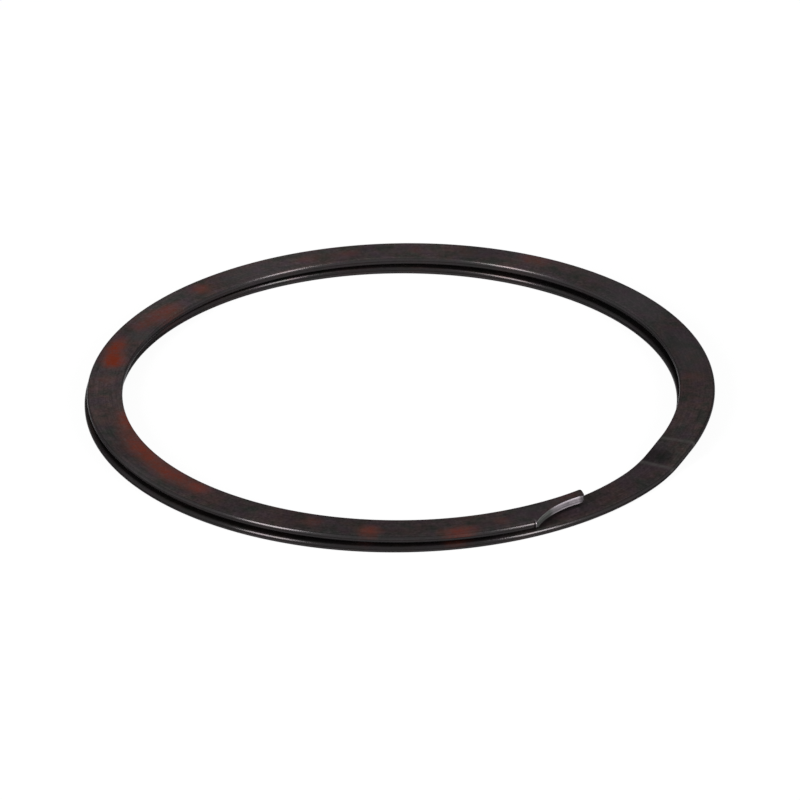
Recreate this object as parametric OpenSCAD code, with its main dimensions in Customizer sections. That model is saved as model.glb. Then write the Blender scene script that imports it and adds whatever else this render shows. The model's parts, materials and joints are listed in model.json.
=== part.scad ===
// Two-turn spiral retaining ring for a bored housing, coiled from flat spring wire.
// The ring lies flat: its axis is Z, and the lower face of the lower turn is at z = 0.
// The wire climbs counter-clockwise seen from above. One short offset bend lifts it
// from the lower turn to the upper turn, and each end has a scallop in its outer edge,
// where a blade goes in to lift the ring out of its groove.

/* [Ring] */
// Outer diameter with the ring free
outer_d = 81; // [60:0.5:120]
// Radial width of the flat wire
wall = 4.6; // [3.5:0.1:7]
// Thickness of the flat wire
wire_t = 1; // [0.7:0.05:1.6]
// Rounding of the four long edges of the wire
edge_r = 0.4; // [0.1:0.05:0.45]
// Gap between the two turns with the ring free
free_gap = 0.5; // [0.1:0.05:1]

/* [Offset bend] */
// Direction of the middle of the offset bend, counter-clockwise from +X
offset_at = -27.3; // [-180:0.1:180]
// Length of the offset bend between its two bend lines, along the middle of the wire
offset_len = 4.3; // [3.5:0.1:9]
// Radius of each bend, at the middle of the wire's thickness
bend_r = 6; // [3:0.1:9]

/* [Ends] */
// Angle left open between a bend line and the nearer end of the other turn
open_angle = 21.5; // [14:0.5:40]
// Radius of the round scallop in the outer edge of each end
scallop_r = 12.5; // [9:0.1:16]
// Distance along the wire from the end to the narrowest place of the scallop
scallop_back = 2; // [1:0.1:4]
// Width of wire left at the narrowest place
tip_w = 1.7; // [1.2:0.05:3]
// Rounding of the two corners of each end, seen from above
corner_r = 0.4; // [0.1:0.05:0.55]

/* [Hidden] */

// Smoothness of the drawn circles
$fn = 180;
// Steps along each bend, along each half of the ramp and along each rounded edge
bend_steps = 8;
ramp_steps = 3;
edge_steps = 4;
// Dark oiled spring steel
steel = [0.22, 0.20, 0.20];

outer_r = outer_d / 2;
inner_r = outer_r - wall;
mid_r = outer_r - wall / 2;
// Height from one turn to the next
rise = wire_t + free_gap;
// The rounded edges always leave some flat between them on the wire's walls
edge = min(edge_r, 0.45 * wire_t);
// Degrees of the ring for one millimetre along the middle of the wire
deg_per_mm = 180 / (PI * mid_r);

// The offset bend is two equal bends, one up and one back to level, with a ramp between
ramp_angle = atan(rise / offset_len);
bend_tangent = bend_r * tan(ramp_angle / 2);
// From the middle of the ramp to a bend line, and to where the wire is level again
line_angle = offset_len / 2 * deg_per_mm;
level_at = offset_len / 2 + bend_tangent;
level_angle = level_at * deg_per_mm;
// Each turn runs from its own end round to the offset bend
turn_angle = 360 - level_angle - line_angle - open_angle;
// The offset bend's section is this much smaller all round, and its two roots run this
// far into the turns, so that its skin ends just inside theirs
seam_step = 0.01;
root_len = 0.4;

// The scallop's centre, seen from the ring's axis with the end of the wire on +X
scallop_out = inner_r + tip_w + scallop_r;
scallop_turn = scallop_back * deg_per_mm;
// Distance from the axis to where the scallop meets the end of the wire
end_outer = scallop_out * cos(scallop_turn)
    - sqrt(pow(scallop_r, 2) - pow(scallop_out * sin(scallop_turn), 2));
// How far the cutting shapes reach past the wire
over = 1;

// Middle line of the lower half of the offset bend, bend then ramp, as
// [distance along the ring from the middle of the ramp, height, slope]
lower_bend = [
    for (i = [0:bend_steps])
        let (slope = ramp_angle * i / bend_steps)
        [bend_r * sin(slope) - level_at, bend_r * (1 - cos(slope)), slope]
];
bend_top = lower_bend[bend_steps];
lower_ramp = [
    for (i = [1:ramp_steps])
        let (k = i / ramp_steps)
        [bend_top[0] * (1 - k), bend_top[1] + (rise / 2 - bend_top[1]) * k, ramp_angle]
];
lower_half = concat([[-level_at - root_len, 0, 0]], lower_bend, lower_ramp);
// The upper half is the lower one turned over about the middle of the ramp
upper_half = [
    for (i = [len(lower_half) - 2:-1:0])
        let (p = lower_half[i])
        [-p[0], rise - p[1], p[2]]
];
offset_line = concat(lower_half, upper_half);

// Outline of the offset bend's section about its middle, as [outwards, upwards]
offset_section = [
    for (corner = [0:3])
        let (
            side = (corner == 0 || corner == 3) ? 1 : -1,
            top = corner < 2 ? 1 : -1
        )
        for (i = [0:edge_steps])
            let (a = 90 * (corner + i / edge_steps))
            [
                side * (wall / 2 - edge) + (edge - seam_step) * cos(a),
                top * (wire_t / 2 - edge) + (edge - seam_step) * sin(a)
            ]
];

// A point of the section, set square to the middle line at one place along it
function skin_point(place, p) =
    let (
        r = mid_r + p[0],
        lean = p[1] * sin(place[2]) * 180 / (PI * r),
        a = offset_at + place[0] * deg_per_mm - lean
    )
    [r * cos(a), r * sin(a), wire_t / 2 + place[1] + p[1] * cos(place[2])];

// The stretch of wire that climbs from the lower turn to the upper one
module offset_bend() {
    n = len(offset_section);
    last = len(offset_line) - 1;
    skin = [
        for (j = [0:last - 1])
            for (i = [0:n - 1])
                let (k = (i + 1) % n)
                [j * n + i, j * n + k, (j + 1) * n + k, (j + 1) * n + i]
    ];
    triangles = [for (f = skin) each [[f[0], f[1], f[2]], [f[0], f[2], f[3]]]];
    lower_root = [for (i = [n - 1:-1:0]) i];
    upper_root = [for (i = [0:n - 1]) last * n + i];
    polyhedron(
        [for (place = offset_line) for (p = offset_section) skin_point(place, p)],
        concat(triangles, [lower_root, upper_root]),
        convexity = 4
    );
}

// Section of the wire beside the ring's axis, with its lower face at y = 0
module wire_section() {
    translate([inner_r + edge, 0])
        square([wall - 2 * edge, wire_t]);
    translate([inner_r, edge])
        square([wall, wire_t - 2 * edge]);
    for (x = [inner_r + edge, outer_r - edge])
        for (y = [edge, wire_t - edge])
            translate([x, y])
                circle(edge);
}

// What rounding takes off a corner of the end at x = 0: the wire is on the side of +x
// for side = 1 and of -x for side = -1
module corner_waste(side) {
    difference() {
        translate([side > 0 ? -over : -corner_r, -corner_r, -over])
            cube([corner_r + over, corner_r + over, wire_t + 2 * over]);
        translate([side * corner_r, -corner_r, -2 * over])
            cylinder(r = corner_r, h = wire_t + 4 * over);
    }
}

// One flat turn, running clockwise from its end on +X
module flat_turn() {
    difference() {
        rotate_extrude(angle = turn_angle, start = -turn_angle)
            wire_section();
        rotate(-scallop_turn)
            translate([scallop_out, 0, -over])
                cylinder(r = scallop_r, h = wire_t + 2 * over);
        translate([inner_r, 0, 0])
            corner_waste(1);
        translate([end_outer, 0, 0])
            corner_waste(-1);
    }
}

module spiral_ring() {
    color(steel) {
        // The upper turn starts at the top of the bend
        translate([0, 0, rise])
            rotate(offset_at + level_angle + turn_angle)
                flat_turn();
        // The lower turn ends at the foot of the bend, and runs the other way
        rotate(offset_at - level_angle - turn_angle)
            mirror([0, 1, 0])
                flat_turn();
        offset_bend();
    }
}

spiral_ring();
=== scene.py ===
"""A two-turn spiral retaining ring of flat spring wire, lying on a studio floor.

The ring is one length of wire: a lower turn, one offset bend and an upper turn, with a
scallop sheared into the outer edge at each end. All lengths are in metres.
"""

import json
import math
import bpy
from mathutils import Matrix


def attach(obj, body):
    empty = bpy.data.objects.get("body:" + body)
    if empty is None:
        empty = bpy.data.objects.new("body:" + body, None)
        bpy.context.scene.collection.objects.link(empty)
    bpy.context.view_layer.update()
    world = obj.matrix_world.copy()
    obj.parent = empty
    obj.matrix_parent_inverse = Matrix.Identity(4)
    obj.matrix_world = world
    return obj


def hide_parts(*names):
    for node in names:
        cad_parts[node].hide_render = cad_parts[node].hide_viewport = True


bl_info = {
    "name": "Spiral Retaining Ring",
    "version": (1, 0, 0),
    "blender": (4, 5, 0),
    "location": "3D View > Sidebar > Ring",
    "description": "Winds a two-turn spiral retaining ring and sets up a studio for it",
    "category": "Object",
}

import bmesh
import bpy
from bpy.props import FloatProperty, FloatVectorProperty, PointerProperty
from bpy.types import Operator, Panel, PropertyGroup
from mathutils import Matrix, Vector

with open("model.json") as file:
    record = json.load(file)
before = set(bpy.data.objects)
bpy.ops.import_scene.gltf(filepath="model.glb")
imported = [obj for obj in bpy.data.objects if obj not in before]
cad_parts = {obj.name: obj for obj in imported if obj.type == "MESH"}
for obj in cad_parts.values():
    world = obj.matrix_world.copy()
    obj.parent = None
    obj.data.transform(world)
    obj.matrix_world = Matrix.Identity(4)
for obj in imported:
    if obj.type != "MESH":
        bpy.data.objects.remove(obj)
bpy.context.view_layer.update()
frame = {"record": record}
RADII = {m["name"]: m["dims"].get("r_mm", 0) / 1000 for m in frame["record"]["mounts"]}

# Points along each quarter of a rounded edge, and across the flat of each face
EDGE_STEPS = 8
FACE_STEPS = 9
# Degrees between sections of the wire, on the plain turns and where its shape changes
PLAIN_STEP = 0.75
FINE_STEP = 0.2
# Sections over the rounded corner of each end
CORNER_STEPS = 12

# Directions in which the gap between the turns is widest, by its lean and by its twist,
# which also widens it on the far side
LEAN_TOWARDS = math.radians(9.5)
TWIST_TOWARDS = math.radians(47)
# How far along the wire the droop of its upper end and the bank of its bend reach
DROOP_REACH = 0.007
BANK_REACH = 0.0055
# How far from its end the wire is slanted by the shear
SLANT_REACH = 0.0015
# Reach of the burr where the scallop starts, how far onto the face the painted highlight beside it
# goes, and where the painted shade of a notch beside it lies and how far that reaches
BURR_REACH = 0.00006
RIM_GLINT_WIDTH = 0.0006
NOTCH_SHADE_BACK = 0.00022
NOTCH_SHADE_REACH = 0.00011
# Where the painted glints along the offset bend's two bend lines lie, as a share of the way to a
# bend line, the reach of each one, and how much askew they lie across the wire
GLINT_OUTSIDE = 1.27
BEND_GLINT_REACH = 0.00035
BEND_SKEW = 0.12
# Where the painted shade on the bend's ramp between them lies, as a share of the way to a glint
# line, and its reach
RAMP_SHADE_AT = -0.3
RAMP_SHADE_REACH = 0.0019
# The darkening near the end of the wire is full up to one distance from its end, and gone at the
# other
FULL_END_DARK = 0.00075
NO_END_DARK = 0.00165
# Radians over which the painted shade on the lower turn fades in where the upper turn begins to
# cover it
COVERED_REACH = 0.2

# What the wire's points carry: how far each is turned away from the flat face, and how strongly
# rust, scuffs, the burr, darkening near the ends, painted shade and painted glints show there
WEAR_AND_PAINTED_LIGHT = ("turned", "rust", "scuff", "bend_glint", "ramp_shade", "burr", "notch_shade", "end_dark_and_gap_shade")
# Share of the upper turn's rust that the lower turn has
LOWER_RUST = 0.5
# Material slot of the sheared faces
SHEARED_SLOT = 1

# Painted shade on the rounded edges and walls: how light the film is painted, as (how far turned
# away, share), from the flat face to the wall
PAINTED_WALL_SHADE = ((0.0, 1.0), (0.22, 0.95), (0.36, 0.50), (0.5, 0.52), (0.75, 0.44), (1.0, 0.30))
# How bare the rounded edges are worn, in the same way
EDGE_WEAR = ((0.35, 0.0), (0.6, 1.0), (0.85, 1.0), (1.0, 0.2))

WHITE = (1.0, 1.0, 1.0, 1.0)

# Directions of the two lamps from the ring, and their width and height
LEFT_LAMP = (-0.68, -0.645, 0.36)
RIGHT_LAMP = (0.70, -0.62, 0.36)
LAMP_SIZE = (0.28, 0.56)

# Blooms of rust on the upper face: where each one is in degrees round the ring and as a
# share of the wire's width outwards, how far it reaches both ways, and how strong it is
RUST_BLOOMS = (
    (2, 0.45, 3.0, 0.45, 0.16),
    (63, 0.68, 3.8, 0.34, 0.40),
    (76, 0.50, 2.5, 0.40, 0.20),
    (87, 0.50, 2.0, 0.30, 0.20),
    (100, 0.50, 3.0, 0.30, 0.22),
    (108, 0.50, 4.0, 0.30, 0.25),
    (133.5, 0.48, 2.3, 0.28, 0.50),
    (142, 0.32, 3.0, 0.30, 0.26),
    (147, 0.32, 4.0, 0.38, 0.52),
    (152.5, 0.48, 2.6, 0.30, 0.38),
    (162.5, 0.62, 3.8, 0.26, 0.74),
    (168.5, 0.45, 2.9, 0.32, 0.92),
    (176, 0.50, 2.6, 0.36, 0.28),
    (194, 0.06, 4.8, 0.28, 0.58),
    (206, 0.26, 7.5, 0.36, 0.60),
    (219, 0.34, 7.5, 0.36, 0.62),
    (227, 0.30, 2.4, 0.28, 0.38),
    (253, 0.45, 2.4, 0.34, 0.29),
    (264, 0.68, 2.3, 0.30, 0.55),
    (280.5, 0.80, 3.6, 0.26, 0.55),
    (289, 0.55, 1.8, 0.28, 0.24),
    (304, 0.15, 5.0, 0.40, 0.20),
)

# Scuffed places on the upper face, where the film is thin and grey
SCUFFS = (
    (12, 0.55, 9.0, 0.50, 0.30),
    (36, 0.50, 8.0, 0.50, 0.35),
    (50, 0.85, 7.0, 0.25, 0.45),
    (121, 0.50, 6.0, 0.50, 0.45),
    (156.5, 0.22, 2.8, 0.24, 0.90),
    (213, 0.95, 6.0, 0.12, 0.45),
)


class RingSizes(PropertyGroup):
    outer_radius: FloatProperty(
        name="Outer Radius",
        description="Radius of the ring's outer edge when it is free",
        default=RADII["outer_edge"],
        subtype="DISTANCE",
        unit="LENGTH",
    )
    inner_radius: FloatProperty(
        name="Inner Radius",
        description="Radius of the ring's inner edge when it is free",
        default=RADII["inner_edge"],
        subtype="DISTANCE",
        unit="LENGTH",
    )
    thickness: FloatProperty(
        name="Wire Thickness",
        description="Thickness of the flat wire",
        default=0.001,
        subtype="DISTANCE",
        unit="LENGTH",
    )
    outer_rounding: FloatVectorProperty(
        name="Outer Rounding",
        description="Rounding of the two outer edges, across the face and down the wall",
        default=(0.00040, 0.00048),
        size=2,
        subtype="XYZ_LENGTH",
        unit="LENGTH",
    )
    inner_rounding: FloatVectorProperty(
        name="Inner Rounding",
        description="Rounding of the two inner edges, across the face and down the wall",
        default=(0.00025, 0.00047),
        size=2,
        subtype="XYZ_LENGTH",
        unit="LENGTH",
    )
    gap: FloatProperty(
        name="Gap",
        description="Mean gap between the two turns",
        default=0.000395,
        subtype="DISTANCE",
        unit="LENGTH",
    )
    lean: FloatProperty(
        name="Lean",
        description="How much the gap widens towards one side",
        default=0.000105,
        subtype="DISTANCE",
        unit="LENGTH",
    )
    twist: FloatProperty(
        name="Twist",
        description="How much the gap widens and narrows twice round the ring",
        default=0.00009,
        subtype="DISTANCE",
        unit="LENGTH",
    )
    sideways: FloatProperty(
        name="Sideways Shift",
        description="How far the upper turn lies to the side of the lower one",
        default=0.000324,
        subtype="DISTANCE",
        unit="LENGTH",
    )
    offset_at: FloatProperty(
        name="Offset Bend At",
        description="Direction of the middle of the offset bend",
        default=math.radians(-27.3),
        subtype="ANGLE",
        unit="ROTATION",
    )
    offset_length: FloatProperty(
        name="Offset Bend Length",
        description="Distance between the offset bend's two bend lines",
        default=0.0043,
        subtype="DISTANCE",
        unit="LENGTH",
    )
    settle: FloatProperty(
        name="Settle",
        description="How much closer the upper turn lies just after the offset bend",
        default=0.0003,
        subtype="DISTANCE",
        unit="LENGTH",
    )
    settle_angle: FloatProperty(
        name="Settle Angle",
        description="How far round the ring the upper turn takes to open from there",
        default=math.radians(11.5),
        subtype="ANGLE",
        unit="ROTATION",
    )
    droop: FloatProperty(
        name="Droop",
        description="How much closer the upper end of the wire lies",
        default=0.00008,
        subtype="DISTANCE",
        unit="LENGTH",
    )
    bank: FloatProperty(
        name="Bank",
        description="How much the wire's inner edge rises over its outer one in the bend",
        default=0.00015,
        subtype="DISTANCE",
        unit="LENGTH",
    )
    lift: FloatProperty(
        name="Lift",
        description="How much the lower turn lifts just before the offset bend",
        default=0.000338,
        subtype="DISTANCE",
        unit="LENGTH",
    )
    lift_angle: FloatProperty(
        name="Lift Angle",
        description="How far round the ring that lift reaches",
        default=math.radians(5.55),
        subtype="ANGLE",
        unit="ROTATION",
    )
    open_angle: FloatProperty(
        name="Open Angle",
        description="Angle between a bend line and the upper end of the wire",
        default=math.radians(21.0),
        subtype="ANGLE",
        unit="ROTATION",
    )
    lower_open_angle: FloatProperty(
        name="Lower Open Angle",
        description="The same angle at the lower end of the wire",
        default=math.radians(17.3),
        subtype="ANGLE",
        unit="ROTATION",
    )
    scallop_radius: FloatProperty(
        name="Scallop Radius",
        description="Radius of the scallop in the outer edge of each end",
        default=0.0125,
        subtype="DISTANCE",
        unit="LENGTH",
    )
    scallop_back: FloatProperty(
        name="Scallop Setback",
        description="Distance from the end of the wire to the narrowest place",
        default=0.0023,
        subtype="DISTANCE",
        unit="LENGTH",
    )
    tip_width: FloatProperty(
        name="Tip Width",
        description="Width of wire left at the narrowest place",
        default=0.0016,
        subtype="DISTANCE",
        unit="LENGTH",
    )
    inner_corner: FloatProperty(
        name="Inner Corner",
        description="Rounding of the inner corner of each end, seen from above",
        default=0.0009,
        subtype="DISTANCE",
        unit="LENGTH",
    )
    outer_corner: FloatProperty(
        name="Outer Corner",
        description="Rounding of the outer corner of each end, where the scallop runs out",
        default=0.0006,
        subtype="DISTANCE",
        unit="LENGTH",
    )
    upper_roll: FloatProperty(
        name="Upper Roll",
        description="Rounding of the upper edge of each end",
        default=0.00015,
        subtype="DISTANCE",
        unit="LENGTH",
    )
    lower_roll: FloatVectorProperty(
        name="Lower Roll",
        description="Rounding of the lower edge of each end, along the wire and upwards",
        default=(0.0012, 0.00082),
        size=2,
        subtype="XYZ_LENGTH",
        unit="LENGTH",
    )
    burr: FloatProperty(
        name="Burr",
        description="Height of the small burr where each scallop starts",
        default=0.00003,
        subtype="DISTANCE",
        unit="LENGTH",
    )
    end_slant: FloatProperty(
        name="End Slant",
        description="Angle between the sheared end and a line through the ring's axis",
        default=math.radians(24),
        subtype="ANGLE",
        unit="ROTATION",
    )


class RingFinish(PropertyGroup):
    steel: FloatVectorProperty(
        name="Oiled Steel",
        description="Colour of the dark oiled spring steel",
        default=(0.0362, 0.0330, 0.0335),
        subtype="COLOR",
        size=3,
        min=0,
        max=1,
    )
    brown: FloatVectorProperty(
        name="Brown Film",
        description="Colour of the brown film that the oil leaves in patches",
        default=(0.0520, 0.0352, 0.0330),
        subtype="COLOR",
        size=3,
        min=0,
        max=1,
    )
    green_tint: FloatVectorProperty(
        name="Green Tint",
        description="Colour of the film where the oil looks greenish",
        default=(0.0250, 0.0290, 0.0250),
        subtype="COLOR",
        size=3,
        min=0,
        max=1,
    )
    violet_tint: FloatVectorProperty(
        name="Violet Tint",
        description="Colour of the film where the oil looks violet",
        default=(0.0460, 0.0320, 0.0390),
        subtype="COLOR",
        size=3,
        min=0,
        max=1,
    )
    rust: FloatVectorProperty(
        name="Rust",
        description="Colour of the strongest rust",
        default=(0.092, 0.0130, 0.0045),
        subtype="COLOR",
        size=3,
        min=0,
        max=1,
    )
    sheared: FloatVectorProperty(
        name="Sheared Steel",
        description="Colour of the bare steel where the wire was sheared",
        default=(0.44, 0.395, 0.43),
        subtype="COLOR",
        size=3,
        min=0,
        max=1,
    )
    tarnish: FloatVectorProperty(
        name="Tarnish",
        description="Colour of the sheared steel where the scallop runs out",
        default=(0.085, 0.088, 0.083),
        subtype="COLOR",
        size=3,
        min=0,
        max=1,
    )
    scuffed: FloatVectorProperty(
        name="Scuffed Face",
        description="Colour of the face where the film is scuffed off",
        default=(0.062, 0.061, 0.063),
        subtype="COLOR",
        size=3,
        min=0,
        max=1,
    )
    bare_edge: FloatVectorProperty(
        name="Bare Edge",
        description="Colour of the rounded edges where they are worn",
        default=(0.0345, 0.0325, 0.0338),
        subtype="COLOR",
        size=3,
        min=0,
        max=1,
    )
    # Colour of the painted glints along the two bend lines
    bend_glint: FloatVectorProperty(
        name="Bend Glint",
        description="Colour of the marks that the bending tool left",
        default=(0.072, 0.070, 0.066),
        subtype="COLOR",
        size=3,
        min=0,
        max=1,
    )
    roughness: FloatProperty(
        name="Roughness",
        description="Mean roughness of the oiled steel",
        default=0.32,
        min=0,
        max=1,
        subtype="FACTOR",
    )


class StudioSettings(PropertyGroup):
    distance: FloatProperty(
        name="Camera Distance",
        description="Distance from the camera to the ring",
        default=1.215,
        subtype="DISTANCE",
        unit="LENGTH",
    )
    elevation: FloatProperty(
        name="Camera Elevation",
        description="Angle of the camera above the floor",
        default=math.radians(28.04),
        subtype="ANGLE",
        unit="ROTATION",
    )
    roll: FloatProperty(
        name="Camera Roll",
        description="Turn of the camera about its own line of sight",
        default=math.radians(0.512),
        subtype="ANGLE",
        unit="ROTATION",
    )
    lens: FloatProperty(
        name="Lens",
        description="Focal length of the camera in millimetres",
        default=423.6,
        subtype="DISTANCE_CAMERA",
        unit="CAMERA",
    )
    aim: FloatVectorProperty(
        name="Camera Aim",
        description="How far the camera is moved to the right and upwards",
        default=(0.000038, 0.000212),
        size=2,
        subtype="XYZ_LENGTH",
        unit="LENGTH",
    )
    left_lamp: FloatProperty(
        name="Left Lamp",
        description="Power of the soft lamp to the left of the camera",
        default=14.6,
        unit="POWER",
    )
    right_lamp: FloatProperty(
        name="Right Lamp",
        description="Power of the soft lamp to the right of the camera",
        default=11.2,
        unit="POWER",
    )
    room: FloatProperty(
        name="Room",
        description="Brightness of the light from all round",
        default=0.48,
        min=0,
    )
    floor: FloatVectorProperty(
        name="Floor",
        description="Colour of the floor",
        default=(0.95, 0.95, 0.95),
        subtype="COLOR",
        size=3,
        min=0,
        max=1,
    )


# The wire's shape


def ease(share):
    """Goes smoothly from 0 to 1 as share does, and stays there."""
    share = min(1.0, max(0.0, share))
    return share * share * (3 - 2 * share)


def fades(distance, reach):
    """1 at no distance, about a third at reach, and soon nothing beyond it."""
    return math.exp(-((distance / reach) ** 2))


def between(start, end, step):
    """Evenly spaced places from start up to end, end left out."""
    count = max(1, round((end - start) / step))
    return [start + (end - start) * i / count for i in range(count)]


def corner_cut(radius, to_end):
    """What a rounded corner takes off the wire's side at this distance from its end."""
    if to_end >= radius:
        return 0.0
    return radius - math.sqrt(max(0.0, radius**2 - (radius - to_end) ** 2))


def blooms_at(blooms, angle, across):
    """How strong these blooms are at this direction and share of the wire's width."""
    degrees = math.degrees(angle) % 360
    total = 0.0
    for at, middle, reach, width, strength in blooms:
        round_it = (degrees - at + 180) % 360 - 180
        total += strength * fades(round_it, reach) * fades(across - middle, width)
    return min(1.0, total)


class WirePath:
    """Where the wire runs. A place on it is an angle that keeps growing along the wire,
    from the lower end to the upper one."""

    def __init__(self, sizes):
        self.sizes = sizes
        self.wall = sizes.outer_radius - sizes.inner_radius
        self.middle = (sizes.outer_radius + sizes.inner_radius) / 2
        self.bend = sizes.offset_at + math.tau
        # From the middle of the offset bend to a bend line, and on to the other turn's end
        self.half_line = sizes.offset_length / 2 / self.middle
        self.lower_end = self.bend - math.tau + self.half_line + sizes.lower_open_angle
        self.upper_end = self.bend + math.tau - self.half_line - sizes.open_angle
        # The painted glints lie a little outside the bend lines
        self.mark = GLINT_OUTSIDE * self.half_line * self.middle
        # The scallop's centre, outwards from the axis and back from the wire's end
        self.scallop_out = sizes.inner_radius + sizes.tip_width + sizes.scallop_radius
        self.scallop_back = sizes.scallop_back / self.middle
        # Half of the angle that the scallop takes from the outer edge, and where it starts
        out, radius = self.scallop_out, sizes.scallop_radius
        reach = (out**2 + sizes.outer_radius**2 - radius**2) / (2 * out * sizes.outer_radius)
        self.scallop_reach = math.acos(reach)
        self.scallop_start = self.scallop_back + self.scallop_reach

    def from_bend(self, angle):
        """Distance along the wire from the middle of the offset bend."""
        return (angle - self.bend) * self.middle

    def climbed(self, angle):
        """Share of the offset bend's climb that is done at this place."""
        return ease(0.5 + self.from_bend(angle) / self.sizes.offset_length)

    def gap(self, angle):
        """Gap under the upper turn, which leans and twists a little, opens slowly after the
        offset bend and droops at its end."""
        sizes = self.sizes
        lean = sizes.lean * math.cos(angle - LEAN_TOWARDS)
        twist = sizes.twist * math.cos(2 * (angle - TWIST_TOWARDS))
        settle = sizes.settle * fades(max(0.0, angle - self.bend), sizes.settle_angle)
        droop = sizes.droop * fades((self.upper_end - angle) * self.middle, DROOP_REACH)
        return sizes.gap + lean + twist - settle - droop

    def height(self, angle):
        """Height of the wire's underside."""
        sizes, share = self.sizes, self.climbed(angle)
        lower = sizes.lift * fades(min(0.0, angle - self.bend), sizes.lift_angle)
        return lower * (1 - share) + (sizes.thickness + self.gap(angle)) * share

    def centre_line(self, angle):
        """Middle of the wire's section, and the directions outwards and square to the face."""
        sizes = self.sizes
        outwards = Vector((math.cos(angle), math.sin(angle), 0))
        along = Vector((-math.sin(angle), math.cos(angle), 0))
        # The slope is the climb from just before this place to just after it
        step = 0.001
        climb = self.height(angle + step) - self.height(angle - step)
        slope = math.atan(climb / (2 * step * self.middle))
        bank = sizes.bank / self.wall * fades(self.from_bend(angle), BANK_REACH)
        square = Vector((0, 0, math.cos(slope))) - along * math.sin(slope) + outwards * bank
        shift = sizes.sideways * (self.climbed(angle) - 0.5)
        middle = Vector((shift, 0, self.height(angle) + sizes.thickness / 2))
        centre = outwards * self.middle + middle
        return centre, outwards - Vector((0, 0, bank)), square.normalized()

    def scallop_edge(self, back):
        """Radius of the wire's outer edge at an angle back from its end."""
        off = abs(back - self.scallop_back)
        if off >= self.scallop_reach:
            return self.sizes.outer_radius
        across = self.scallop_out * math.sin(off)
        depth = math.sqrt(self.sizes.scallop_radius**2 - across**2)
        return self.scallop_out * math.cos(off) - depth

    def places(self):
        """Angles of all the wire's sections, closer together where its shape changes."""
        plain, fine = math.radians(PLAIN_STEP), math.radians(FINE_STEP)
        corner = self.sizes.outer_corner / self.middle
        turns = [math.pi / 2 * i / CORNER_STEPS for i in range(CORNER_STEPS + 1)]
        rounding = [corner * (1 - math.sin(turned)) for turned in turns]
        # Around the burr at the start of the scallop the sections are closest together
        before, after = self.scallop_start - 2 * fine, self.scallop_start + 4 * fine
        backs = rounding[::-1] + between(corner, before, fine)[1:]
        backs += between(before, after, fine / 3)
        near_bend = 3 * self.half_line
        return (
            [self.lower_end + back for back in backs]
            + between(self.lower_end + after, self.bend - near_bend, plain)
            + between(self.bend - near_bend, self.bend + near_bend, fine)
            + between(self.bend + near_bend, self.upper_end - after, plain)
            + [self.upper_end - back for back in [after] + backs[::-1]]
        )


def section_outline(sizes, inner, outer):
    """Outline of the wire's section as (radius, height, how far it is turned away from the
    flat face, sheared), with its rounded edges cut off at the radii inner and outer."""
    half = sizes.thickness / 2
    outside, inside = tuple(sizes.outer_rounding), tuple(sizes.inner_rounding)
    flat_in, flat_out = sizes.inner_radius + inside[0], sizes.outer_radius - outside[0]
    outline = []
    corners = ((flat_out, 1, -1), (flat_out, 1, 1), (flat_in, -1, 1), (flat_in, -1, -1))
    for corner, (flat, side, top) in enumerate(corners):
        edge, depth = outside if side > 0 else inside
        for i in range(EDGE_STEPS + 1):
            turned = (i if side * top < 0 else EDGE_STEPS - i) / EDGE_STEPS
            radius = flat + side * edge * math.sin(math.pi / 2 * turned)
            height = top * (half - depth + depth * math.cos(math.pi / 2 * turned))
            kept = min(outer, max(inner, radius))
            outline.append((kept, height, turned, abs(kept - radius) > 1e-9))
        # The flat face between this edge and the next one
        if corner in (1, 3):
            start, end = max(inner, flat_in), min(outer, flat_out)
            if corner == 1:
                start, end = end, start
            for i in range(1, FACE_STEPS + 1):
                radius = start + (end - start) * i / (FACE_STEPS + 1)
                outline.append((radius, top * half, 0.0, False))
    return outline


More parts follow.
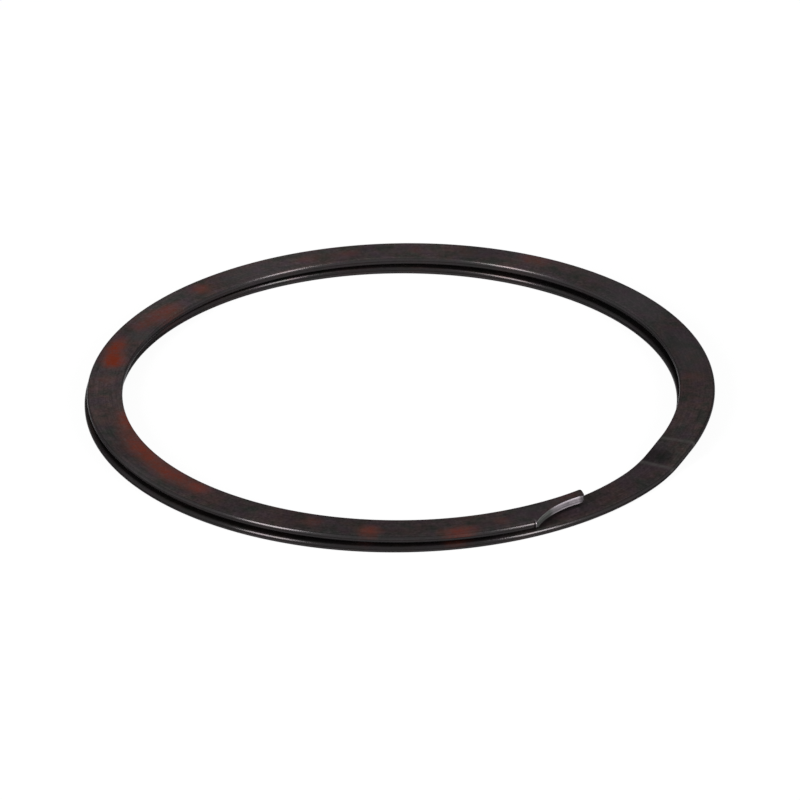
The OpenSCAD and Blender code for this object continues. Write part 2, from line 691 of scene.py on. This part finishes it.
class WireSection:
    """The wire's section at one place: where its points lie, how worn each one is, and how much
    painted shade and painted glint each one has.
    """

    def __init__(self, path, angle):
        sizes = path.sizes
        self.path, self.angle = path, angle
        self.half = sizes.thickness / 2
        back = min(angle - path.lower_end, path.upper_end - angle)
        self.to_end = back * path.middle
        self.inner = sizes.inner_radius + corner_cut(sizes.inner_corner, self.to_end)
        self.outer = path.scallop_edge(back) - corner_cut(sizes.outer_corner, self.to_end)
        roll_along, roll_up = sizes.lower_roll
        self.lowest = corner_cut(roll_along, self.to_end) * roll_up / roll_along - self.half
        self.highest = self.half - corner_cut(sizes.upper_roll, self.to_end)
        # The shear left a burr where it met the outer edge; just before it the edge is painted in
        # shade, as a dark notch
        from_start = (back - path.scallop_start) * path.middle
        self.burr = fades(from_start, BURR_REACH)
        self.notch_shade = fades(from_start - NOTCH_SHADE_BACK, NOTCH_SHADE_REACH)

    def points(self):
        """The outline as (point, place on the wire, worn marks and painted light, sheared)."""
        path, sizes = self.path, self.path.sizes
        centre, outwards, square = path.centre_line(self.angle)
        slant = math.tan(sizes.end_slant) * ease(1 - self.to_end / SLANT_REACH)
        if self.angle > path.bend:
            slant = -slant
        slanted = Vector((-outwards.y, outwards.x, 0)) * slant
        tip_middle = sizes.inner_radius + sizes.tip_width / 2
        for radius, height, turned, sheared in section_outline(sizes, self.inner, self.outer):
            height = min(self.highest, max(self.lowest, height))
            wear_and_painted_light = self.wear_and_painted_light(radius, height, turned, sheared)
            raised = self.burr * turned if radius > path.middle else 0.0
            point = centre + outwards * (radius - path.middle + sizes.burr * raised)
            point += square * height + slanted * (radius - tip_middle)
            yield point, (self.angle * path.middle, radius, height), wear_and_painted_light, sheared

    def wear_and_painted_light(self, radius, height, turned, sheared):
        """How strongly each kind of worn mark, painted shade and painted glint shows at a point of
        the outline.
        """
        path = self.path
        on_top, outside = height > 0, radius > path.middle
        across = (radius - path.sizes.inner_radius) / path.wall
        rust = scuff = rim_glint = 0.0
        if on_top:
            rust = blooms_at(RUST_BLOOMS, self.angle, across)
            rust *= 1.0 if self.angle > path.bend else LOWER_RUST
            scuff = blooms_at(SCUFFS, self.angle, across)
            # A painted highlight along the scallop's rim, on the face beside the burr
            rim_glint = 0.6 * ease((radius - self.outer + RIM_GLINT_WIDTH) / (RIM_GLINT_WIDTH / 2))
        # The painted shade on the ramp between the glint lines ends short of the outer edge
        from_bend = path.from_bend(self.angle) - BEND_SKEW * (radius - path.middle)
        inner_part = ease(2.1 - 2 * across)
        # Painted glints along the two bend lines
        bend_glints = [fades(from_bend - at, BEND_GLINT_REACH) for at in (-path.mark, path.mark)]
        return {
            "turned": turned,
            "rust": rust,
            "scuff": scuff,
            "bend_glint": max(bend_glints),
            "ramp_shade": fades(from_bend - RAMP_SHADE_AT * path.mark, RAMP_SHADE_REACH) * inner_part,
            "burr": self.burr * max(turned if outside else 0.0, rim_glint),
            "notch_shade": self.notch_shade * ease(2.5 * turned) if outside else 0.0,
            "end_dark_and_gap_shade": self.end_dark_and_gap_shade(height, turned, sheared),
        }

    def end_dark_and_gap_shade(self, height, turned, sheared):
        """How dark it is painted: darker near the ends of the wire, and painted shade on the lower
        half of the upper turn and on the lower turn where the upper one lies over it."""
        path = self.path
        end_dark_and_gap_shade = 0.0
        # Darker near the ends of the wire
        if sheared or turned > 0.3:
            end_dark_and_gap_shade = ease((NO_END_DARK - self.to_end) / (NO_END_DARK - FULL_END_DARK))
        # Painted shade on the lower half of the upper turn, over the gap
        if path.from_bend(self.angle) > path.mark:
            end_dark_and_gap_shade = max(end_dark_and_gap_shade, ease(-turned * height / self.half))
        # Painted shade on the lower turn where the upper turn lies over it
        if height > 0:
            covered_to = path.upper_end - math.tau - path.scallop_start
            covered = ease((covered_to - self.angle) / COVERED_REACH)
            # The painted shade is lighter on the rounded edges and the walls than on the face
            # there
            end_dark_and_gap_shade = max(end_dark_and_gap_shade, covered * max(0.45, ease(1.5 - 2.5 * turned)))
        return end_dark_and_gap_shade


def wind_wire(sizes):
    """A mesh of the whole ring. Its points carry their place on the wire and how strongly each
    kind of worn mark, painted shade and painted glint shows there."""
    path = WirePath(sizes)
    shape = bmesh.new()
    place_layer = shape.verts.layers.float_vector.new("wire_place")
    wear_and_painted_light_layers = {name: shape.verts.layers.float.new(name) for name in WEAR_AND_PAINTED_LIGHT}
    rings = []
    for angle in path.places():
        ring = []
        for point, place, wear_and_painted_light, sheared in WireSection(path, angle).points():
            vert = shape.verts.new(point)
            vert[place_layer] = place
            for name, layer in wear_and_painted_light_layers.items():
                vert[layer] = wear_and_painted_light[name]
            ring.append((vert, sheared))
        rings.append(ring)
    for ring, following in zip(rings, rings[1:]):
        for i in range(len(ring)):
            k = (i + 1) % len(ring)
            corners = (ring[i], ring[k], following[k], following[i])
            face = shape.faces.new([vert for vert, sheared in corners])
            face.smooth = True
            if sum(sheared for vert, sheared in corners) > 2:
                face.material_index = SHEARED_SLOT
    for ring in (rings[0], rings[-1]):
        face = shape.faces.new([vert for vert, sheared in ring])
        face.material_index = SHEARED_SLOT
    bmesh.ops.recalc_face_normals(shape, faces=shape.faces)
    mesh = bpy.data.meshes.new("spiral_ring_wire")
    shape.to_mesh(mesh)
    shape.free()
    mesh.set_sharp_from_angle(angle=math.radians(35))
    return mesh


# Finishes


class Finish:
    """The nodes of a material or of the room, placed in rows in the order they are made."""

    def __init__(self, owner):
        owner.use_nodes = True
        self.owner = owner
        self.tree = owner.node_tree
        self.tree.nodes.clear()
        self.placed = 0

    def node(self, kind, inputs=(), **settings):
        """A new node. inputs is {socket: a value or another node's output}."""
        node = self.tree.nodes.new(kind)
        node.location = (self.placed % 8 * 200, -(self.placed // 8) * 300)
        self.placed += 1
        for name, value in settings.items():
            setattr(node, name, value)
        for name, value in dict(inputs).items():
            if isinstance(value, bpy.types.NodeSocket):
                self.tree.links.new(value, node.inputs[name])
            else:
                node.inputs[name].default_value = value
        return node

    def attribute(self, name, output="Fac"):
        """What the mesh's points carry under this name."""
        return self.node("ShaderNodeAttribute", attribute_name=name).outputs[output]

    def place_in_object(self):
        """Where a point is, as the object sees it."""
        return self.node("ShaderNodeTexCoord").outputs["Object"]

    def parts(self, vector):
        """The three parts of a vector, as outputs X, Y and Z."""
        return self.node("ShaderNodeSeparateXYZ", {"Vector": vector}).outputs

    def scaled(self, vector, scale):
        """vector with each of its three parts multiplied by scale's."""
        inputs = {0: vector, 1: scale}
        return self.node("ShaderNodeVectorMath", inputs, operation="MULTIPLY").outputs[0]

    def noise(self, vector, scale, detail=2.0, roughness=0.5, distortion=0.0):
        """Noise from 0 to 1, around 0.5."""
        inputs = {
            "Vector": vector,
            "Scale": scale,
            "Detail": detail,
            "Roughness": roughness,
            "Distortion": distortion,
        }
        return self.node("ShaderNodeTexNoise", inputs).outputs["Fac"]

    def remap(self, value, low, high, to_low=0.0, to_high=1.0):
        """value from low to high becomes to_low to to_high, and no further."""
        inputs = {"Value": value, 1: low, 2: high, 3: to_low, 4: to_high}
        return self.node("ShaderNodeMapRange", inputs).outputs["Result"]

    def levels(self, value, stops):
        """value turned into the levels of stops, which are (value, level) in order."""
        node = self.node("ShaderNodeValToRGB", {"Fac": value})
        marks = node.color_ramp.elements
        while len(marks) < len(stops):
            marks.new(0.5)
        for mark, (position, level) in zip(marks, stops):
            mark.position = position
            mark.color = (level, level, level, 1.0)
        return node.outputs["Color"]

    def math(self, operation, first, second):
        """One step of arithmetic."""
        return self.node("ShaderNodeMath", {0: first, 1: second}, operation=operation).outputs[0]

    def product(self, first, *others):
        """All of these multiplied together."""
        for other in others:
            first = self.math("MULTIPLY", first, other)
        return first

    def dimmed(self, colour, share):
        """colour multiplied by share."""
        inputs = {0: colour, "Scale": share}
        return self.node("ShaderNodeVectorMath", inputs, operation="SCALE").outputs[0]

    def blend(self, share, first, second):
        """From the first colour to the second one as share goes from 0 to 1."""
        node = self.node("ShaderNodeMix", {0: share}, data_type="RGBA")
        colours = [socket for socket in node.inputs if socket.type == "RGBA"]
        for socket, colour in zip(colours, (first, second)):
            if isinstance(colour, bpy.types.NodeSocket):
                self.tree.links.new(colour, socket)
            else:
                socket.default_value = (*colour[:3], 1.0)
        return next(socket for socket in node.outputs if socket.type == "RGBA")

    def relief(self, height, strength, distance):
        """Normals of a surface that is as bumpy as height says."""
        inputs = {"Strength": strength, "Distance": distance, "Height": height}
        return self.node("ShaderNodeBump", inputs).outputs["Normal"]

    def shader(self, kind, inputs):
        """A shader, or a mix of two."""
        return self.node(kind, inputs).outputs[0]

    def show(self, shader, output="ShaderNodeOutputMaterial"):
        """Makes this shader the one that is seen, and gives back what it is on."""
        self.tree.links.new(shader, self.node(output).inputs["Surface"])
        return self.owner


def film_colour(made, look, where, noise):
    """Oiled steel under a brown film that lies in patches, and thins out at the right of the
    back. The oil has a green or violet tint in places."""
    at = made.parts(where)
    thin = made.product(made.remap(at["X"], 0.016, 0.026), made.remap(at["Y"], 0.0, 0.010))
    film = made.math("ADD", noise["patches"], made.remap(noise["streaks"], 0.3, 0.7, -0.05, 0.05))
    film = made.math("SUBTRACT", film, made.product(thin, 0.12))
    colour = made.blend(made.remap(film, 0.38, 0.66), look.steel, look.brown)
    green = made.remap(noise["tints"], 0.5, 0.7, 0.0, 0.8)
    violet = made.remap(noise["tints"], 0.5, 0.3, 0.0, 0.7)
    colour = made.blend(green, colour, look.green_tint)
    return made.blend(violet, colour, look.violet_tint)


def film_tone_and_painted_shade(made, where, wear_and_painted_light, noise):
    """How light the film is: fine and broad unevenness, painted shade on the walls, on the bend's
    ramp and in a notch beside each burr, and painted light that makes the left and the back a
    little lighter."""
    at = made.parts(where)
    return made.product(
        made.remap(noise["grain"], 0.3, 0.7, 1.2, 0.82),
        made.remap(noise["specks"], 0.3, 0.7, 1.27, 0.75),
        made.remap(noise["mottle"], 0.3, 0.7, 1.2, 0.82),
        made.remap(noise["broad"], 0.35, 0.65, 0.88, 1.13),
        # Painted shade on the bend's ramp, and in the notch beside each burr
        made.remap(wear_and_painted_light["ramp_shade"], 0.0, 1.0, 1.0, 0.45),
        made.remap(wear_and_painted_light["notch_shade"], 0.0, 1.0, 1.0, 0.12),
        # Painted light: the back and the left lighter, the front and the right darker
        made.remap(at["Y"], -0.04, 0.04, 0.93, 1.24),
        made.remap(at["X"], -0.04, 0.04, 1.08, 0.82),
        # Painted shade on the rounded edges and walls
        made.levels(wear_and_painted_light["turned"], PAINTED_WALL_SHADE),
    )


def worn_and_painted_colour(made, look, colour, wear_and_painted_light, mottle):
    """colour with scuffs, bare rounded edges, darkening near the wire's ends, painted shade
    between the turns, painted glints along the bend lines, the burr and a painted highlight on the
    scallop's rim beside it.
    """
    scuff = made.product(wear_and_painted_light["scuff"], made.remap(mottle, 0.35, 0.65, 0.2, 1.0))
    colour = made.blend(scuff, colour, look.scuffed)
    # The bare edge is left out where the notch is painted in shade
    bare = made.product(
        made.levels(wear_and_painted_light["turned"], EDGE_WEAR),
        made.remap(mottle, 0.38, 0.6, 0.5, 0.68),
        made.remap(wear_and_painted_light["notch_shade"], 0.0, 1.0, 1.0, 0.0),
    )
    colour = made.blend(bare, colour, look.bare_edge)
    # Darker near the ends of the wire, and painted shade between the turns
    colour = made.dimmed(colour, made.remap(wear_and_painted_light["end_dark_and_gap_shade"], 0.0, 1.0, 1.0, 0.3))
    # Painted glints along the bend lines
    bend_glint = made.product(wear_and_painted_light["bend_glint"], made.remap(mottle, 0.3, 0.7, 0.25, 0.8))
    colour = made.blend(bend_glint, colour, look.bend_glint)
    # The burr's bare sheared steel, and a painted highlight beside it on the scallop's rim
    return made.blend(made.product(wear_and_painted_light["burr"], 0.35), colour, look.sheared)


def rust_share(made, where, rust, noise):
    """How much rust there is: ragged blooms, and a trace elsewhere."""
    ragged = made.product(
        made.remap(noise["mottle"], 0.3, 0.7, 0.72, 1.28),
        made.remap(noise["patches"], 0.3, 0.7, 0.85, 1.15),
        rust,
    )
    trace = made.remap(made.noise(where, 120.0, 5.0, 0.65), 0.60, 0.78, 0.0, 0.10)
    return made.math("MAXIMUM", made.remap(ragged, 0.08, 0.82), trace)


def oiled_steel(look):
    """Dark oiled spring steel: a fine grain along the wire, a patchy brown film, walls darkened by
    painted shade, painted light on the left and the back, worn edges, painted glints and shade at
    the bend, and rust."""
    made = Finish(bpy.data.materials.new("oiled_spring_steel"))
    where = made.place_in_object()
    place = made.attribute("wire_place", "Vector")
    wear_and_painted_light = {name: made.attribute(name) for name in WEAR_AND_PAINTED_LIGHT}
    noise = {
        "grain": made.noise(made.scaled(place, (160, 6500, 6500)), 1.0, 3.0, 0.6),
        "streaks": made.noise(made.scaled(place, (70, 1400, 1400)), 1.0, 3.0, 0.6),
        "patches": made.noise(where, 230.0, 4.0, 0.6, 0.4),
        "mottle": made.noise(where, 1500.0, 3.0, 0.65),
        "specks": made.noise(where, 3600.0, 2.0, 0.6),
        "broad": made.noise(where, 70.0, 2.0, 0.5),
        "tints": made.noise(where, 450.0, 2.0, 0.5),
    }
    colour = film_colour(made, look, where, noise)
    colour = made.dimmed(colour, film_tone_and_painted_shade(made, where, wear_and_painted_light, noise))
    colour = worn_and_painted_colour(made, look, colour, wear_and_painted_light, noise["mottle"])
    rust = rust_share(made, where, wear_and_painted_light["rust"], noise)
    colour = made.blend(rust, colour, look.rust)

    smooth, dull = look.roughness - 0.04, look.roughness + 0.06
    roughness = made.remap(noise["streaks"], 0.3, 0.7, smooth, dull)
    polish = made.remap(wear_and_painted_light["turned"], 0.3, 0.6, 0.0, 0.13)
    roughness = made.math("SUBTRACT", roughness, polish)
    roughness = made.math("ADD", roughness, made.product(rust, 0.3))
    grain = made.math("ADD", made.product(noise["grain"], 0.6), made.product(noise["specks"], 0.4))
    height = made.math("ADD", grain, made.product(rust, 0.6))
    height = made.product(height, made.remap(wear_and_painted_light["turned"], 0.2, 0.5, 1.0, 0.3))
    inputs = {
        "Base Color": colour,
        "Metallic": made.remap(rust, 0.0, 1.0, 0.75, 0.1),
        "Roughness": roughness,
        "Normal": made.relief(height, 0.5, 0.000012),
        "Specular IOR Level": 0.04,
        "Specular Tint": (0.36, 0.35, 0.36, 1.0),
    }
    return made.show(made.shader("ShaderNodeBsdfPrincipled", inputs))


def sheared_steel(look):
    """Bare steel of the sheared ends, with the streaks that the blade leaves in it. It is
    brightest near the tip and along its upper and lower rims."""
    made = Finish(bpy.data.materials.new("sheared_steel"))
    place = made.attribute("wire_place", "Vector")
    streaks = made.noise(made.scaled(place, (160, 160, 5200)), 1.0, 3.0, 0.65)
    patches = made.noise(made.scaled(place, (1100, 1100, 1800)), 1.0, 3.0, 0.6)
    dull, plain, bright = (tuple(part * c for c in look.sheared) for part in (0.22, 0.85, 1.5))
    colour = made.blend(made.remap(streaks, 0.38, 0.58), dull, plain)
    colour = made.blend(made.remap(patches, 0.5, 0.75, 0.0, 0.4), colour, dull)
    # The scallop is tarnished where it runs out to the outer edge
    at = made.parts(place)
    tarnish = made.remap(at["Y"], 0.0377, 0.0384, 0.0, 1.0)
    tarnished = made.dimmed(look.tarnish, made.remap(streaks, 0.38, 0.58, 0.5, 1.4))
    colour = made.blend(tarnish, colour, tarnished)
    upper = made.remap(at["Z"], 0.00030, 0.00042, 0.0, 0.8)
    lower = made.remap(at["Z"], -0.00028, -0.00040, 0.0, 0.45)
    rims = made.math("MAXIMUM", upper, lower)
    rims = made.product(rims, made.remap(tarnish, 0.0, 1.0, 1.0, 0.1))
    colour = made.blend(rims, colour, bright)
    # Darker near the end of the wire
    colour = made.dimmed(colour, made.remap(made.attribute("end_dark_and_gap_shade"), 0.0, 1.0, 1.0, 0.27))
    inputs = {
        "Base Color": colour,
        "Metallic": 0.6,
        "Roughness": made.remap(streaks, 0.3, 0.7, 0.34, 0.48),
        "Normal": made.relief(streaks, 0.6, 0.00002),
    }
    return made.show(made.shader("ShaderNodeBsdfPrincipled", inputs))


def pale_backdrop(made, straight, mirrored):
    """How white the backdrop looks to a ray from the camera and to one by reflection. Light
    itself doesn't see it."""
    rays = made.node("ShaderNodeLightPath").outputs
    seen = made.math("MAXIMUM", rays["Is Glossy Ray"], rays["Is Transmission Ray"])
    seen = made.product(seen, mirrored)
    return made.math("MAXIMUM", seen, made.product(rays["Is Camera Ray"], straight))


def floor_finish(colour):
    """A pale floor that keeps the ring's shadow."""
    made = Finish(bpy.data.materials.new("studio_floor"))
    grain = made.remap(made.noise(made.place_in_object(), 40.0), 0.3, 0.7)
    tone = made.blend(grain, tuple(0.99 * c for c in colour), colour)
    plain = made.shader("ShaderNodeBsdfDiffuse", {"Color": tone})
    white = made.shader("ShaderNodeEmission", {"Color": WHITE, "Strength": 1.0})
    seen = pale_backdrop(made, 0.93, 0.2)
    return made.show(made.shader("ShaderNodeMixShader", {0: seen, 1: plain, 2: white}))


def room_finish(brightness):
    """An even dim light from the room, whose walls look white."""
    made = Finish(bpy.data.worlds.new("studio_room"))
    dim = made.shader("ShaderNodeBackground", {"Color": WHITE, "Strength": brightness})
    white = made.shader("ShaderNodeBackground", {"Color": WHITE, "Strength": 1.0})
    seen = pale_backdrop(made, 1.0, 0.62)
    mixed = made.shader("ShaderNodeMixShader", {0: seen, 1: dim, 2: white})
    return made.show(mixed, "ShaderNodeOutputWorld")


# Operators


class RING_OT_wind(Operator):
    """Wind the wire into the two-turn ring and finish it"""

    bl_idname = "retaining_ring.wind"
    bl_label = "Wind Ring"
    bl_options = {"REGISTER", "UNDO"}

    def execute(self, context):
        mesh = wind_wire(context.scene.ring_sizes)
        look = context.scene.ring_finish
        mesh.materials.append(oiled_steel(look))
        mesh.materials.append(sheared_steel(look))
        ring = bpy.data.objects.new("wound_ring", mesh)
        context.scene.collection.objects.link(ring)
        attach(ring, "root")
        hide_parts("spiral_ring")
        return {"FINISHED"}


class RING_OT_studio(Operator):
    """Lay the floor, hang the soft lamps and set up the camera"""

    bl_idname = "retaining_ring.studio"
    bl_label = "Set Up Studio"
    bl_options = {"REGISTER", "UNDO"}

    def execute(self, context):
        studio = context.scene.ring_studio
        self.lay_floor(context, studio)
        self.hang_lamps(context, studio)
        self.place_camera(context, studio)
        context.scene.world = room_finish(studio.room)
        context.scene.view_settings.view_transform = "Standard"
        return {"FINISHED"}

    def lay_floor(self, context, studio):
        """A wide round floor just under the ring."""
        shape = bmesh.new()
        bmesh.ops.create_circle(shape, cap_ends=True, segments=96, radius=6.0)
        mesh = bpy.data.meshes.new("studio_floor")
        shape.to_mesh(mesh)
        shape.free()
        mesh.materials.append(floor_finish(studio.floor))
        floor = bpy.data.objects.new("studio_floor", mesh)
        floor.location.z = -0.00002
        context.scene.collection.objects.link(floor)

    def hang_lamps(self, context, studio):
        """Two soft lamps a metre away, to the left and right of the camera."""
        for direction, power in ((LEFT_LAMP, studio.left_lamp), (RIGHT_LAMP, studio.right_lamp)):
            lamp = bpy.data.lights.new("soft_lamp", "AREA")
            lamp.shape = "RECTANGLE"
            lamp.size, lamp.size_y = LAMP_SIZE
            lamp.energy = power
            away = Vector(direction).normalized()
            holder = bpy.data.objects.new("soft_lamp", lamp)
            holder.location = away
            holder.rotation_mode = "QUATERNION"
            holder.rotation_quaternion = away.to_track_quat("Z", "Y")
            context.scene.collection.objects.link(holder)

    def place_camera(self, context, studio):
        """The camera looks along +Y and down at the ring."""
        lens = bpy.data.cameras.new("studio_camera")
        lens.lens = studio.lens
        lens.sensor_width = 36
        up = Vector((0, math.sin(studio.elevation), math.cos(studio.elevation)))
        back = Vector((0, -math.cos(studio.elevation), math.sin(studio.elevation)))
        right = Vector((1, 0, 0))
        place = back * studio.distance + right * studio.aim[0] + up * studio.aim[1]
        turned = Matrix((right, up, back)).transposed()
        roll = Matrix.Rotation(-studio.roll, 3, "Z")
        camera = bpy.data.objects.new("studio_camera", lens)
        camera.matrix_world = Matrix.Translation(place) @ (turned @ roll).to_4x4()
        context.scene.collection.objects.link(camera)
        context.scene.camera = camera


class RING_PT_panel(Panel):
    """Sizes and colours of the ring and its studio"""

    bl_label = "Spiral Retaining Ring"
    bl_space_type = "VIEW_3D"
    bl_region_type = "UI"
    bl_category = "Ring"

    def draw(self, context):
        scene = context.scene
        groups = (
            (scene.ring_sizes, ()),
            (scene.ring_finish, (RING_OT_wind,)),
            (scene.ring_studio, (RING_OT_studio,)),
        )
        for group, operators in groups:
            column = self.layout.column()
            for name in group.bl_rna.properties.keys():
                if name not in ("rna_type", "name"):
                    column.prop(group, name)
            for operator in operators:
                column.operator(operator.bl_idname)


CLASSES = (RingSizes, RingFinish, StudioSettings, RING_OT_wind, RING_OT_studio, RING_PT_panel)
GROUPS = {"ring_sizes": RingSizes, "ring_finish": RingFinish, "ring_studio": StudioSettings}


def register():
    for cls in CLASSES:
        bpy.utils.register_class(cls)
    for name, group in GROUPS.items():
        setattr(bpy.types.Scene, name, PointerProperty(type=group))


def unregister():
    for name in GROUPS:
        delattr(bpy.types.Scene, name)
    for cls in reversed(CLASSES):
        bpy.utils.unregister_class(cls)


def main():
    register()
    bpy.ops.retaining_ring.wind()
    bpy.ops.retaining_ring.studio()


if __name__ == "__main__":
    main()
